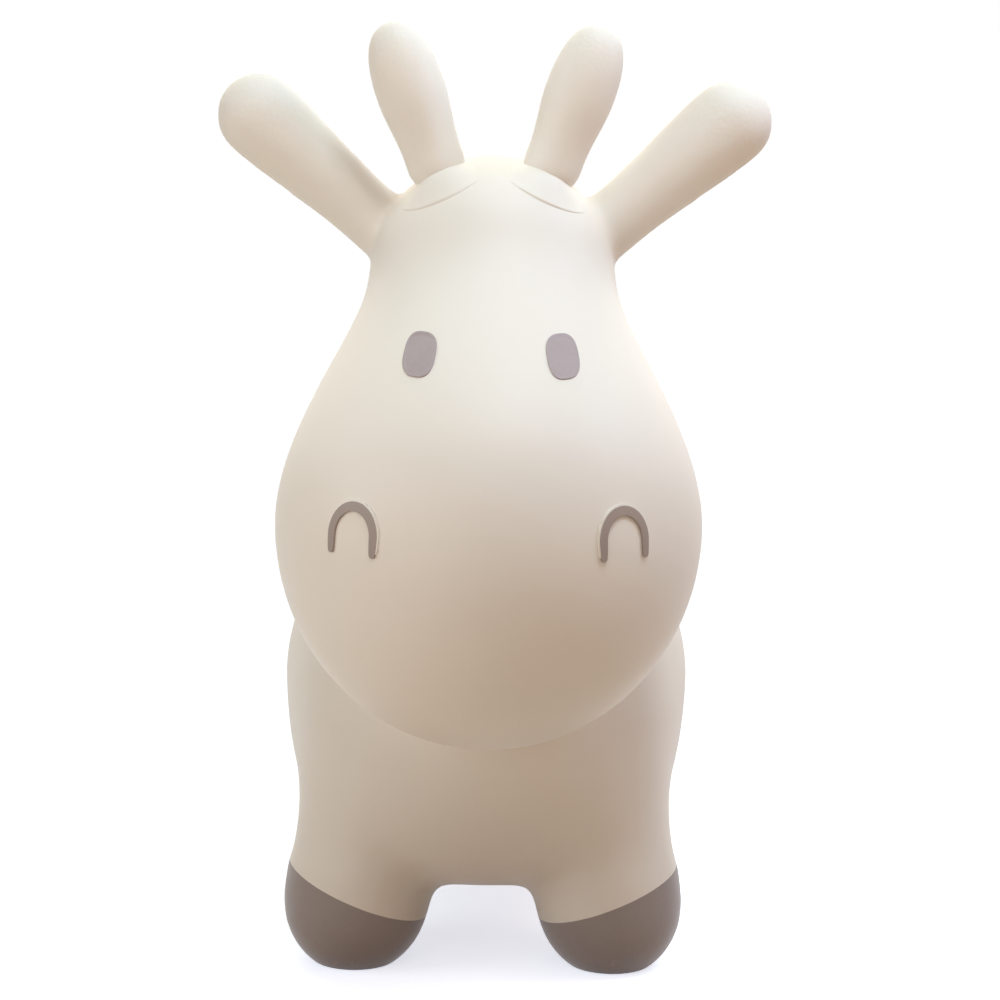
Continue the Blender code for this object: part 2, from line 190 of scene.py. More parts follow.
# Tail and air valve
TAIL_ROOT = Vector((0.0, 0.214, 0.229))
TAIL_RISE = math.radians(58.0)
TAIL_LENGTH = 0.038
TAIL_TIP_RADIUS = 0.014
TAIL_ROOT_RADIUS = 0.011
VALVE_PLACE = Vector((0.0, 0.065, 0.037))
VALVE_FLANGE_RADIUS = 0.013
VALVE_SLEEVE_RADIUS = 0.008
VALVE_BORE_RADIUS = 0.0045
VALVE_DEPTH = 0.016
PLUG_HEAD_RADIUS = 0.009
PLUG_HEAD_THICKNESS = 0.003
PLUG_SHANK_RADIUS = 0.0042
PLUG_LENGTH = 0.014
PLUG_SEAT = 0.0003  # valve's level to the near face of the plug's head
RIB_COUNT = 3
RIB_PITCH = 0.0030
RIB_DEPTH = 0.0004
POCKET_GAP = 0.0002  # round the valve ring

# Finishes, as linear colours
CREAM = (0.84, 0.81, 0.755)
EYE_MAUVE = (0.40, 0.346, 0.36)
NOSTRIL_MAUVE = (0.347, 0.292, 0.264)
HOOF_MAUVE = (0.31, 0.265, 0.25)
PLUG_WHITE = (0.80, 0.78, 0.74)

# Grain of the skin when its forms are melted together, without the ears and with them
BODY_VOXEL = 0.0035
SKIN_VOXEL = 0.0028

SIDES = {"left": 1.0, "right": -1.0}
UP = Vector((0.0, 0.0, 1.0))
BACK = Vector((0.0, 1.0, 0.0))
SIDEWAYS = Vector((1.0, 0.0, 0.0))


def alone(obj):
    """Makes one object the only selected one, and the active one."""
    bpy.ops.object.select_all(action="DESELECT")
    obj.select_set(True)
    bpy.context.view_layer.objects.active = obj


def edit(obj):
    alone(obj)
    bpy.ops.object.mode_set(mode="EDIT")
    bpy.ops.mesh.select_all(action="SELECT")


def leave_edit():
    bpy.ops.object.mode_set(mode="OBJECT")


def pick_faces(obj, test):
    """Selects, in edit mode, the faces whose middle and normal pass a test."""
    bpy.ops.mesh.select_mode(type="FACE")
    bpy.ops.mesh.select_all(action="DESELECT")
    shape = bmesh.from_edit_mesh(obj.data)
    for face in shape.faces:
        face.select_set(bool(test(face.calc_center_median(), face.normal)))
    bmesh.update_edit_mesh(obj.data)


def pick_points(obj, test):
    """Selects, in edit mode, the points whose place passes a test, and the edges between them."""
    bpy.ops.mesh.select_mode(type="VERT")
    bpy.ops.mesh.select_all(action="DESELECT")
    shape = bmesh.from_edit_mesh(obj.data)
    for vertex in shape.verts:
        vertex.select_set(bool(test(vertex.co)))
    shape.select_flush(True)
    bmesh.update_edit_mesh(obj.data)


def modify(obj, kind, **settings):
    """Adds a modifier, sets it and applies it."""
    alone(obj)
    step = obj.modifiers.new(kind.lower(), kind)
    for setting, value in settings.items():
        setattr(step, setting, value)
    bpy.ops.object.modifier_apply(modifier=step.name)


def settle(obj, place):
    """Puts a piece at a matrix and moves that place into its mesh."""
    obj.matrix_world = place
    alone(obj)
    bpy.ops.object.transform_apply(location=True, rotation=True, scale=True)


def merged(name, pieces):
    bpy.ops.object.select_all(action="DESELECT")
    for piece in pieces:
        piece.select_set(True)
    bpy.context.view_layer.objects.active = pieces[0]
    bpy.ops.object.join()
    pieces[0].name = name
    return pieces[0]


def soften(obj, voxel, rounds):
    """Melts overlapping forms into one skin and rounds the creases between them."""
    modify(obj, "REMESH", mode="VOXEL", voxel_size=voxel)
    modify(obj, "SMOOTH", factor=0.5, iterations=rounds)


def ease(obj, test, rounds):
    """Smooths, in edit mode, the points whose place passes a test."""
    pick_points(obj, test)
    bpy.ops.mesh.vertices_smooth(factor=0.5, repeat=rounds)


def drag(value, reach):
    """Moves the picked points in edit mode, and takes the points within reach along."""
    bpy.ops.transform.translate(
        value=value,
        use_proportional_edit=True,
        proportional_edit_falloff="SMOOTH",
        proportional_size=reach,
    )


def bevel(piece, width, angle):
    """Rounds the edges of a piece that are sharper than an angle in degrees."""
    modify(piece, "BEVEL", width=width, segments=3, limit_method="ANGLE", angle_limit=math.radians(angle))


def close_up(obj, smooth_angle=60.0):
    """Fills the open rims of a piece, turns its faces outwards and shades it smooth."""
    edit(obj)
    bpy.ops.mesh.fill_holes(sides=0)
    bpy.ops.mesh.select_all(action="SELECT")
    bpy.ops.mesh.normals_make_consistent(inside=False)
    leave_edit()
    alone(obj)
    bpy.ops.object.shade_smooth_by_angle(angle=math.radians(smooth_angle))


def along(origin, direction, across):
    """The matrix that stands local +Z along a direction, with local +X as near as it can be to another."""
    z_axis = direction.normalized()
    y_axis = z_axis.cross(across).normalized()
    x_axis = y_axis.cross(z_axis)
    return Matrix.Translation(origin) @ Matrix((x_axis, y_axis, z_axis)).transposed().to_4x4()


def arc(radius, height, start, end, steps=16):
    """Profile points (radius, height) on a circle, at angles in degrees up from the horizontal."""
    angles = [math.radians(start + (end - start) * i / steps) for i in range(steps + 1)]
    return [(max(0.0, radius * math.cos(a)), height + radius * math.sin(a)) for a in angles]


def taper(top_radius, top, bottom_radius, bottom, steps=14, fill=0.0):
    """Profile points between two radii with no corner at either. Fill brings them nearer the second."""
    shares = [i / steps for i in range(1, steps)]
    eased = [t * t * (3.0 - 2.0 * t) + fill * t**2 * (1.0 - t) ** 3 for t in shares]
    return [
        (top_radius + (bottom_radius - top_radius) * e, top + (bottom - top) * t)
        for t, e in zip(shares, eased)
    ]


def draw_row(name, points):
    """Starts a piece in edit mode as a chain of edges, drawn point by point."""
    bpy.ops.object.select_all(action="DESELECT")
    bpy.ops.mesh.primitive_plane_add(size=0.001)
    piece = bpy.context.active_object
    piece.name = name
    edit(piece)
    bpy.ops.mesh.select_mode(type="VERT")
    bpy.ops.mesh.merge(type="CENTER")
    bpy.ops.transform.translate(value=points[0])
    for here, there in zip(points, points[1:]):
        step = Vector(there) - Vector(here)
        bpy.ops.mesh.extrude_vertices_move(TRANSFORM_OT_translate={"value": step})
    bpy.ops.mesh.select_all(action="SELECT")
    return piece


def turned(name, profile, place, steps=64):
    """A form spun about its own Z from (radius, height) points."""
    piece = draw_row(name, [(radius, 0.0, height) for radius, height in profile])
    bpy.ops.mesh.spin(steps=steps, angle=2.0 * math.pi, center=(0.0, 0.0, 0.0), axis=(0.0, 0.0, 1.0))
    bpy.ops.mesh.select_all(action="SELECT")
    bpy.ops.mesh.remove_doubles(threshold=1e-5)
    bpy.ops.mesh.normals_make_consistent(inside=False)
    leave_edit()
    settle(piece, place)
    return piece


def capsule(name, low, low_radius, high, high_radius, stretch=1.0, fill=0.0):
    """A round-ended form between two centres, with its low end stretched along it."""
    way = high - low
    profile = arc(high_radius, way.length, 90.0, 0.0)
    profile += taper(high_radius, way.length, low_radius, 0.0, fill=fill)
    profile += [(radius, height * stretch) for radius, height in arc(low_radius, 0.0, 0.0, -90.0)]
    return turned(name, profile, along(low, way, SIDEWAYS))


def torso_form():
    """A rounded barrel with the saddle pressed into its back, fuller flanks and a lowered chest."""
    bpy.ops.object.select_all(action="DESELECT")
    bpy.ops.mesh.primitive_cube_add(size=2.0)
    piece = bpy.context.active_object
    piece.name = "torso_form"
    edit(piece)
    bpy.ops.mesh.subdivide(number_cuts=TORSO_CUTS)
    leave_edit()
    modify(piece, "CAST", cast_type="SPHERE", factor=TORSO_ROUNDNESS, size=1.0, use_radius_as_size=False)
    modify(piece, "SMOOTH", factor=0.5, iterations=TORSO_SOFTENING)
    span = [2.0 * half / size for half, size in zip(TORSO_HALF, piece.dimensions)]
    edit(piece)
    bpy.ops.transform.resize(value=span, center_override=(0.0, 0.0, 0.0))
    pick_points(piece, lambda p: abs(p.y) < 0.008 and p.z > 0.08)
    drag((0.0, 0.0, -SADDLE_DIP), SADDLE_REACH)
    pick_points(piece, lambda p: abs(p.x) > 0.09 and abs(p.z + FLANK_DROP) < 0.006)
    bpy.ops.transform.resize(
        value=(FLANK_SWELL, 1.0, 1.0),
        center_override=(0.0, 0.0, 0.0),
        use_proportional_edit=True,
        proportional_edit_falloff="SMOOTH",
        proportional_size=FLANK_REACH,
    )
    pick_points(piece, lambda p: abs(p.x) < 0.045 and -0.140 < p.y < -0.075 and p.z < -0.08)
    drag((0.0, 0.0, -BRISKET_DROP), BRISKET_REACH)
    leave_edit()
    settle(piece, Matrix.Translation(TORSO_CENTRE))
    return piece


def leg_way(name):
    """The direction from a foot up to its hip, which leans inwards."""
    sign = math.copysign(1.0, FEET[name].x)
    return Vector((-sign * math.sin(LEG_SPLAY), 0.0, math.cos(LEG_SPLAY)))


def leg_form(name):
    foot = FEET[name]
    hip = foot + leg_way(name) * LEG_LENGTH
    return capsule(f"leg_{name}", foot, FOOT_RADIUS, hip, HIP_RADIUS, FOOT_STRETCH)


def grip_way(sign, rise):
    return Vector((sign * math.cos(rise), 0.0, math.sin(rise)))


def mirrored(point, sign):
    return Vector((sign * point.x, point.y, point.z))


def ear_form(side, sign):
    root, way = mirrored(EAR_ROOT, sign), grip_way(sign, EAR_RISE)
    grip = EAR_LENGTH - EAR_GRIP_RADIUS
    profile = arc(EAR_GRIP_RADIUS, grip, 90.0, 0.0)
    profile += taper(EAR_GRIP_RADIUS, grip, EAR_NECK_RADIUS, EAR_NECK)
    profile += arc(EAR_NECK_RADIUS, -EAR_SUNK, 0.0, -90.0)
    return turned(f"ear_form_{side}", profile, along(root, way, BACK))


def horn(side, sign):
    """A horn that stands in its mound."""
    root, way = mirrored(HORN_ROOT, sign), grip_way(sign, HORN_RISE)
    power = 2.0 / HORN_BLUNTNESS
    tip = arc(1.0, 0.0, 90.0, 0.0, 32)
    reach = HORN_LENGTH - HORN_GRIP
    profile = [(HORN_GRIP_RADIUS * u**power, HORN_GRIP + reach * v**power) for u, v in tip]
    profile += taper(HORN_GRIP_RADIUS, HORN_GRIP, HORN_NECK_RADIUS, HORN_NECK, 20)
    profile += [(HORN_NECK_RADIUS, 0.002), (HORN_NECK_RADIUS, 0.0)]
    profile += arc(HORN_NECK_RADIUS, -0.002, 0.0, -90.0)
    piece = turned(f"horn_skin_{side}", profile, along(root, way, BACK), 96)
    close_up(piece)
    return piece


def mound(side, sign):
    """The low moulded swelling that a horn stands on: a fine step in front, sunk into the crown behind."""
    out = (mirrored(HORN_ROOT, sign) - CROWN_CENTRE).normalized()
    out = Matrix.Rotation(MOUND_TURN, 3, "X") @ out
    shares = [i / MOUND_STEPS for i in range(MOUND_STEPS + 1)]
    profile = []
    for share in shares:
        crown = math.sqrt(CROWN_RADIUS**2 - (MOUND_RADIUS * share) ** 2)
        profile.append((MOUND_RADIUS * share, crown + MOUND_RISE * (1.0 - share**2) ** 2 - MOUND_SINK))
    foot = profile[-1][1]
    profile += [(MOUND_RADIUS + 0.0002, foot - 0.0002), (MOUND_RADIUS + 0.0003, foot - 0.0005)]
    profile += [(MOUND_RADIUS + 0.0003, foot - MOUND_WALL), (0.0, foot - MOUND_WALL)]
    about_edge = Matrix.Translation((0.0, 0.0, foot))
    hinge = Vector((-sign * math.sin(MOUND_SWING), math.cos(MOUND_SWING), 0.0))
    tilt = about_edge @ Matrix.Rotation(MOUND_TILT, 4, hinge) @ about_edge.inverted()
    place = along(CROWN_CENTRE, out, BACK) @ tilt
    piece = turned(f"horn_mound_{side}", profile, place, 96)
    spot = place @ Vector((-MOUND_SWELL_PLACE, 0.0, CROWN_RADIUS))
    edit(piece)
    pick_points(piece, lambda p: (p - spot).length < 0.003)
    drag(out * MOUND_SWELL, MOUND_SWELL_REACH)
    leave_edit()
    close_up(piece, 40.0)
    return piece


def on_face(skin, across, height):
    """The point of the face behind a place in front of it, and the skin's normal there."""
    found, point, normal, _ = skin.ray_cast(Vector((across, CAD_BOX[0][1] - 0.1, height)), BACK)
    if not found:
        raise ValueError("no skin at this height")
    return point, normal


def laid_on(piece, skin, place, rise):
    """Drops a flat piece onto the skin at a matrix, and makes it a layer that stands proud of the skin."""
    above = place @ Matrix.Translation((0.0, 0.0, LAYING_HEIGHT))
    piece.matrix_world = above
    bpy.context.view_layer.update()
    modify(
        piece,
        "SHRINKWRAP",
        wrap_method="PROJECT",
        target=skin,
        use_project_z=True,
        use_negative_direction=True,
        use_positive_direction=False,
    )
    settle(piece, above)
    share = (rise - PAINT_DEPTH) / (rise + PAINT_DEPTH)
    modify(piece, "SOLIDIFY", thickness=rise + PAINT_DEPTH, offset=share)


def rounded(turn, half_width, half_height):
    """A point of a squarish oval, at an angle round it."""
    across, up = math.cos(turn), math.sin(turn)
    return (
        math.copysign(half_width * abs(across) ** (2.0 / EYE_SQUARENESS), across),
        math.copysign(half_height * abs(up) ** (2.0 / EYE_SQUARENESS), up),
        0.0,
    )


def eye(side, sign, skin):
    """A squarish oval pad with a fine raised rim."""
    turns = [2.0 * math.pi * (i + 0.5) / EYE_STEPS for i in range(EYE_STEPS)]
    piece = draw_row(f"eye_pad_{side}", [rounded(a, EYE_SIZE[0] / 2, EYE_SIZE[1] / 2) for a in turns])
    bpy.ops.mesh.edge_face_add()
    bpy.ops.mesh.select_mode(type="FACE")
    bpy.ops.mesh.select_all(action="SELECT")
    bpy.ops.mesh.inset(thickness=EYE_RIM)
    for size in EYE_RINGS:
        bpy.ops.mesh.inset(thickness=0.0)
        bpy.ops.transform.resize(value=(size, size, 1.0), center_override=(0.0, 0.0, 0.0))
    bpy.ops.mesh.poke()
    bpy.ops.mesh.select_all(action="SELECT")
    bpy.ops.mesh.normals_make_consistent(inside=False)
    leave_edit()
    face_up(piece)
    point, _ = on_face(skin, sign * EYE_PLACE[0], EYE_PLACE[1])
    place = along(point, EYE_FACING, SIDEWAYS) @ Matrix.Rotation(sign * EYE_LEAN, 4, "Z")
    laid_on(piece, skin, place, EYE_RISE)
    to_pad, out = place.inverted(), EYE_FACING
    half = (EYE_SIZE[0] / 2 - EYE_RIM, EYE_SIZE[1] / 2 - EYE_RIM)
    edit(piece)
    pick_faces(piece, lambda middle, normal: normal.dot(out) > 0.5 and in_oval(to_pad @ middle, half))
    bpy.ops.transform.shrink_fatten(value=-EYE_DISH)
    leave_edit()
    bevel(piece, EYE_BEVEL, 50.0)
    close_up(piece, 50.0)
    return piece


def in_oval(point, half):
    shares = (abs(point.x) / half[0], abs(point.y) / half[1])
    return shares[0] ** EYE_SQUARENESS + shares[1] ** EYE_SQUARENESS < 1.0


def face_up(piece):
    """Turns a flat piece over if its faces look down."""
    edit(piece)
    shape = bmesh.from_edit_mesh(piece.data)
    if sum(face.normal.z for face in shape.faces) < 0.0:
        bpy.ops.mesh.flip_normals()
    leave_edit()


def arch(name, inner, outer, foot_length):
    """A flat arch between two radii with rounded feet, in the XY plane."""
    columns = [inner + (outer - inner) * i / 6 for i in range(7)]
    piece = draw_row(name, [(x, 0.0, 0.0) for x in columns])
    bpy.ops.mesh.spin(steps=32, angle=math.pi, center=(0.0, 0.0, 0.0), axis=(0.0, 0.0, -1.0))
    bpy.ops.mesh.select_all(action="SELECT")
    bpy.ops.transform.resize(value=(1.0, NOSTRIL_HEIGHT, 1.0), center_override=(0.0, 0.0, 0.0))
    middle = (inner + outer) / 2
    for sign in SIDES.values():
        pick_points(piece, lambda p: abs(p.y) < 1e-5 and p.x * sign > 0.0)
        foot = Vector((sign * middle, 0.0, 0.0))
        for length, width in NOSTRIL_FOOT_STEPS:
            step = Vector((0.0, -foot_length * length, 0.0))
            bpy.ops.mesh.extrude_region_move(TRANSFORM_OT_translate={"value": step})
            foot += step
            bpy.ops.transform.resize(value=(width, 1.0, 1.0), center_override=foot)
    bpy.ops.mesh.select_all(action="SELECT")
    bpy.ops.mesh.remove_doubles(threshold=1e-6)
    bpy.ops.mesh.normals_make_consistent(inside=False)
    leave_edit()
    return piece


def nostril(side, sign, skin):
    """A painted arch with a fine moulded lip along its outer edge."""
    point, normal = on_face(skin, sign * NOSTRIL_PLACE[0], NOSTRIL_PLACE[1])
    place = along(point, normal, UP.cross(normal))
    inside = NOSTRIL_RADIUS - NOSTRIL_STROKE
    layers = []
    for name, inner, outer, foot_length, rise in (
        ("nostril_bed", inside + BED_INSET, NOSTRIL_RADIUS + BED_LIP, BED_FOOT, BED_RISE),
        ("nostril_paint", inside, NOSTRIL_RADIUS, NOSTRIL_FOOT, NOSTRIL_RISE),
    ):
        piece = arch(f"{name}_{side}", inner, outer, foot_length)
        face_up(piece)
        laid_on(piece, skin, place, rise)
        bevel(piece, NOSTRIL_BEVEL, 50.0)
        close_up(piece, 50.0)
        layers.append(piece)
    return layers


def valve_pocket():
    """The hollow in the belly that the valve ring sits in."""
    profile = [
        (0.0, 0.02),
        (VALVE_FLANGE_RADIUS + POCKET_GAP, 0.02),
        (VALVE_FLANGE_RADIUS + POCKET_GAP, -0.0028),
        (VALVE_SLEEVE_RADIUS + POCKET_GAP, -0.0028),
        (VALVE_SLEEVE_RADIUS + POCKET_GAP, -VALVE_DEPTH - 0.0003),
        (0.0, -VALVE_DEPTH - 0.0003),
    ]
    return turned("valve_pocket", profile, along(VALVE_PLACE, -UP, SIDEWAYS))


def valve_seat():
    """A soft ring with a rolled rim and a sleeve behind it."""
    profile = [
        (VALVE_BORE_RADIUS, -0.0012),
        (VALVE_BORE_RADIUS + 0.0010, -0.0002),
        (PLUG_HEAD_RADIUS + 0.0004, -0.0002),
        (PLUG_HEAD_RADIUS + 0.0008, 0.0006),
        (PLUG_HEAD_RADIUS + 0.0018, 0.0011),
        (VALVE_FLANGE_RADIUS - 0.0012, 0.0009),
        (VALVE_FLANGE_RADIUS - 0.0002, 0.0002),
        (VALVE_FLANGE_RADIUS, -0.0008),
        (VALVE_FLANGE_RADIUS, -0.0025),
        (VALVE_SLEEVE_RADIUS, -0.0025),
        (VALVE_SLEEVE_RADIUS, -VALVE_DEPTH),
        (VALVE_BORE_RADIUS, -VALVE_DEPTH),
        (VALVE_BORE_RADIUS, -0.0012),
    ]
    piece = turned("valve_ring", profile, along(VALVE_PLACE, -UP, SIDEWAYS))
    close_up(piece, 50.0)
    return piece


def valve_plug():
    """A press-in plug with a rounded head, a finger groove round it and a ribbed shank."""
    top = PLUG_SEAT + PLUG_HEAD_THICKNESS
    valley = PLUG_SHANK_RADIUS - RIB_DEPTH
    ribs = []
    for i in range(RIB_COUNT):
        crest = -0.0028 - i * RIB_PITCH
        ribs += [(valley, crest + 0.0012), (PLUG_SHANK_RADIUS, crest), (valley, crest - 0.0008)]
    profile = [
        (0.0, top - 0.0009),
        (0.0030, top - 0.0008),
        (0.0048, top - 0.0001),
        (0.0062, top),
        (PLUG_HEAD_RADIUS - 0.0008, top - 0.0003),
        (PLUG_HEAD_RADIUS - 0.0001, top - 0.0009),
        (PLUG_HEAD_RADIUS, top - 0.0015),
        (PLUG_HEAD_RADIUS - 0.0007, top - 0.0020),
        (PLUG_HEAD_RADIUS - 0.0002, 0.0008),
        (PLUG_HEAD_RADIUS - 0.0004, PLUG_SEAT),
        (PLUG_SHANK_RADIUS, PLUG_SEAT),
        *ribs,
        (PLUG_SHANK_RADIUS - 0.0006, -PLUG_LENGTH + 0.0026),
        (PLUG_SHANK_RADIUS - 0.0014, -PLUG_LENGTH + 0.0004),
        (PLUG_SHANK_RADIUS - 0.0020, -PLUG_LENGTH),
        (0.0, -PLUG_LENGTH),
    ]
    piece = turned("plug_body", profile, along(VALVE_PLACE, -UP, SIDEWAYS))
    close_up(piece, 50.0)
    return piece


def parted(skin, name, inside, point, normal):
    """Cuts the skin with a plane where a test holds, and lifts off what lies beyond as its own piece."""
    edit(skin)
    pick_faces(skin, lambda middle, _: inside(middle))
    bpy.ops.mesh.bisect(plane_co=point, plane_no=normal)
    pick_faces(skin, lambda middle, _: inside(middle) and (middle - point).dot(normal) > 0.0)
    known = set(bpy.data.objects)
    bpy.ops.mesh.separate(type="SELECTED")
    leave_edit()
    piece = (set(bpy.data.objects) - known).pop()
    piece.name = name
    return piece


def near_line(point, root, way, radius, start):
    """Whether a point is beside a line, from some way along it."""
    reach = (point - root).dot(way)
    return reach > start and (point - root - way * reach).length < radius


def skin_form():
    """Torso, neck, head, legs, tail and ears as one skin: broad folds at the body, tight ones at the ears."""
    tail_way = Vector((0.0, math.cos(TAIL_RISE), math.sin(TAIL_RISE)))
    forms = [torso_form()]
    forms.append(capsule("neck_form", NECK_FOOT, NECK_LOW_RADIUS, NECK_TOP, NECK_HIGH_RADIUS))
    head_sizes = (MUZZLE_CENTRE, MUZZLE_RADIUS, CROWN_CENTRE, CROWN_RADIUS, CHIN_STRETCH, CHEEK_FILL)
    forms.append(capsule("head_form", *head_sizes))
    forms += [leg_form(name) for name in FEET]
    tail_tip = TAIL_ROOT + tail_way * TAIL_LENGTH
    forms.append(capsule("tail_form", TAIL_ROOT, TAIL_ROOT_RADIUS, tail_tip, TAIL_TIP_RADIUS))
    skin = merged("calf_skin", forms)
    soften(skin, BODY_VOXEL, 24)
    edit(skin)
    # The hips, their outer sides again, then the foot of the neck and the front of the saddle
    ease(skin, lambda p: 0.075 < p.z < 0.140, 40)
    ease(skin, lambda p: 0.060 < p.z < 0.150 and abs(p.x) > 0.07, 80)
    ease(skin, lambda p: p.z > 0.19 and -0.055 < p.y < 0.10, 40)
    leave_edit()
    skin = merged("calf_skin", [skin] + [ear_form(side, sign) for side, sign in SIDES.items()])
    soften(skin, SKIN_VOXEL, 9)
    edit(skin)
    # The ears past their roots
    ease(skin, lambda p: p.z > 0.44 and abs(p.x) > 0.075, 8)
    bpy.ops.mesh.select_all(action="SELECT")
    bpy.ops.mesh.bisect(plane_co=(0.0, 0.0, 0.0), plane_no=UP, clear_inner=True, use_fill=True)
    leave_edit()
    return skin


class Field:
    """A value over a surface, held as one output socket. Python sums on it add Math nodes."""

    def __init__(self, tree, socket=None):
        self.tree = tree
        self.socket = socket

    def node(self, kind, settings, sockets, output=0):
        """Adds a node of a type with its settings, and the values or fields of its sockets."""
        made = self.tree.nodes.new(kind)
        for name, value in settings.items():
            if name == "stops":
                while len(made.color_ramp.elements) < len(value):
                    made.color_ramp.elements.new(0.5)
                for element, (position, level) in zip(made.color_ramp.elements, value):
                    element.position = position
                    element.color = (level, level, level, 1.0)
            else:
                setattr(made, name, value)
        for name, value in sockets.items():
            if isinstance(value, Field):
                self.tree.links.new(value.socket, made.inputs[name])
            else:
                made.inputs[name].default_value = value
        return Field(self.tree, made.outputs[output])

    def sum(self, operation, first, second):
        return self.node("ShaderNodeMath", {"operation": operation}, {0: first, 1: second})

    def __add__(self, other):
        return self.sum("ADD", self, other)

    __radd__ = __add__

    def __sub__(self, other):
        return self.sum("SUBTRACT", self, other)

    def __rsub__(self, other):
        return self.sum("SUBTRACT", other, self)

    def __mul__(self, other):
        return self.sum("MULTIPLY", self, other)

    __rmul__ = __mul__

    def within(self, low, high):
        """0 below a level, 1 above another, eased between them."""
        settings = {"interpolation_type": "SMOOTHSTEP"}
        return self.node("ShaderNodeMapRange", settings, {"Value": self, "From Min": low, "From Max": high})

    def between(self, first, second):
        """The colour that this share of the way from one colour to another gives."""
        return self.node("ShaderNodeMix", {"data_type": "RGBA"}, {0: self, 6: first, 7: second}, 2)


def colour(rgb, level=1.0):
    return (rgb[0] * level, rgb[1] * level, rgb[2] * level, 1.0)


def start_look(name, roughness):
    """An empty material: its node tree as a field, its object coordinates and its shader."""
    made = bpy.data.materials.new(name)
    made.use_nodes = True
    tree = made.node_tree
    shader = tree.nodes["Principled BSDF"]
    shader.inputs["Roughness"].default_value = roughness
    field = Field(tree)
    place = field.node("ShaderNodeTexCoord", {}, {}, "Object")
    return made, field, place, shader


def noise(field, place, scale, detail=3.0, roughness=0.5):
    sockets = {"Vector": place, "Scale": scale, "Detail": detail, "Roughness": roughness}
    return field.node("ShaderNodeTexNoise", {}, sockets, "Fac")


def height_of(field, place):
    return field.node("ShaderNodeSeparateXYZ", {}, {"Vector": place}, "Z")


def bumped(field, relief, strength, distance):
    sockets = {"Height": relief, "Strength": strength, "Distance": distance}
    return field.node("ShaderNodeBump", {}, sockets, "Normal")


def wire(field, shader, **sockets):
    """Links fields to a shader's sockets, with spaces for the underscores."""
    for name, value in sockets.items():
        field.tree.links.new(value.socket, shader.inputs[name.replace("_", " ")])


def vinyl():
    """Soft matte vinyl: orange-peel grain, faint blotches, darker browner patches low down and pebbled ears
    and horns.
    """
    made, field, place, shader = start_look("calf_cream_vinyl", 0.5)
    shader.inputs["Specular IOR Level"].default_value = 0.3
    blotch = noise(field, place, 7.0, 2.0)
    mottle = noise(field, place, 55.0, 4.0, 0.6)
    tone = (blotch - 0.5) * 0.5 + (mottle - 0.5) * 0.28 + 0.5
    base = tone.between(colour(CREAM, 0.96), colour(CREAM, 1.03))
    height = height_of(field, place)
    patches = noise(field, place, 28.0, 4.0, 0.65).within(0.42, 0.78)
    # Colour made darker and browner, and the surface rougher, in patches towards the bottom.
    low_patches = (1.0 - height.within(0.02, 0.11)) * patches * 0.22
    base = low_patches.between(base, colour((0.60, 0.53, 0.45)))
    peel = noise(field, place, 620.0, 2.0)
    from_crown = field.node(
        "ShaderNodeVectorMath", {"operation": "DISTANCE"}, {0: place, 1: CROWN_CENTRE}, "Value"
    )
    grip = from_crown.within(0.112, 0.140) * height.within(0.43, 0.46)
    spread = {"Vector": place, "Scale": 420.0, "Smoothness": 0.6}
    pebbles = field.node("ShaderNodeTexVoronoi", {"feature": "SMOOTH_F1"}, spread, "Distance")
    relief = peel * 0.35 + (1.0 - pebbles) * grip * 1.8
    bump = bumped(field, relief, 0.10, 0.0008)
    gloss = 0.50 + (mottle - 0.5) * 0.16 + grip * 0.08 + low_patches * 0.4
    wire(field, shader, Base_Color=base, Roughness=gloss, Normal=bump)
    return made


def paint(name, tone, worn_low):
    """Sprayed satin paint with fine mottling. Paint worn low has specks rubbed off near the floor."""
    made, field, place, shader = start_look(name, 0.45)
    shader.inputs["Specular IOR Level"].default_value = 0.3
    cloud = noise(field, place, 60.0, 3.0, 0.55)
    speck = noise(field, place, 420.0, 2.0)
    base = (cloud * 0.6 + speck * 0.4).between(colour(tone, 0.90), colour(tone, 1.10))
    gloss = 0.42 + (cloud - 0.5) * 0.2
    if worn_low:
        near_floor = 1.0 - height_of(field, place).within(0.004, 0.020)
        scuff = noise(field, place, 130.0, 5.0, 0.7).within(0.58, 0.68) * near_floor
        base = (scuff * 0.6).between(base, colour(tone, 1.55))
        gloss = gloss + scuff * 0.25
    grain = noise(field, place, 620.0, 2.0)
    bump = bumped(field, grain, 0.10, 0.0006)
    wire(field, shader, Base_Color=base, Roughness=gloss, Normal=bump)
    return made


def plug_plastic():
    """Harder white plastic with a fine moulded grain."""
    made, field, place, shader = start_look("valve_white_plastic", 0.38)
    cloud = noise(field, place, 180.0, 3.0)
    base = cloud.between(colour(PLUG_WHITE, 0.96), colour(PLUG_WHITE, 1.03))
    gloss = 0.34 + cloud * 0.10
    grain = noise(field, place, 1500.0, 2.0)
    bump = bumped(field, grain, 0.08, 0.0003)
    wire(field, shader, Base_Color=base, Roughness=gloss, Normal=bump)
    return made


def dress(piece, look, slot, body, *nodes):
    """Gives a piece its material and its place in the frame."""
    piece.data.materials.clear()
    piece.data.materials.append(look)
    if body:
        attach(piece, body)
    if nodes:
        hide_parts(*nodes)


def camera():
    """The viewpoint of a photographer kneeling in front, a little above the calf and slightly tilted."""
    tilt, distance, roll = math.radians(9.5), 1.65, math.radians(0.9)
    target = Vector((0.0, 0.0, 0.26))
    data = bpy.data.cameras.new("studio_camera")
    data.sensor_fit = "HORIZONTAL"
    data.sensor_width = 36.0
    data.lens = 101.87
    data.shift_x = 0.011
    data.shift_y = -0.003
    data.clip_start = 0.05
    obj = bpy.data.objects.new("studio_camera", data)
    bpy.context.scene.collection.objects.link(obj)
    stand = Matrix.Translation(target + Vector((0.0, -math.cos(tilt), math.sin(tilt))) * distance)
    obj.matrix_world = stand @ Matrix.Rotation(math.pi / 2 - tilt, 4, "X") @ Matrix.Rotation(roll, 4, "Z")
    bpy.context.scene.camera = obj


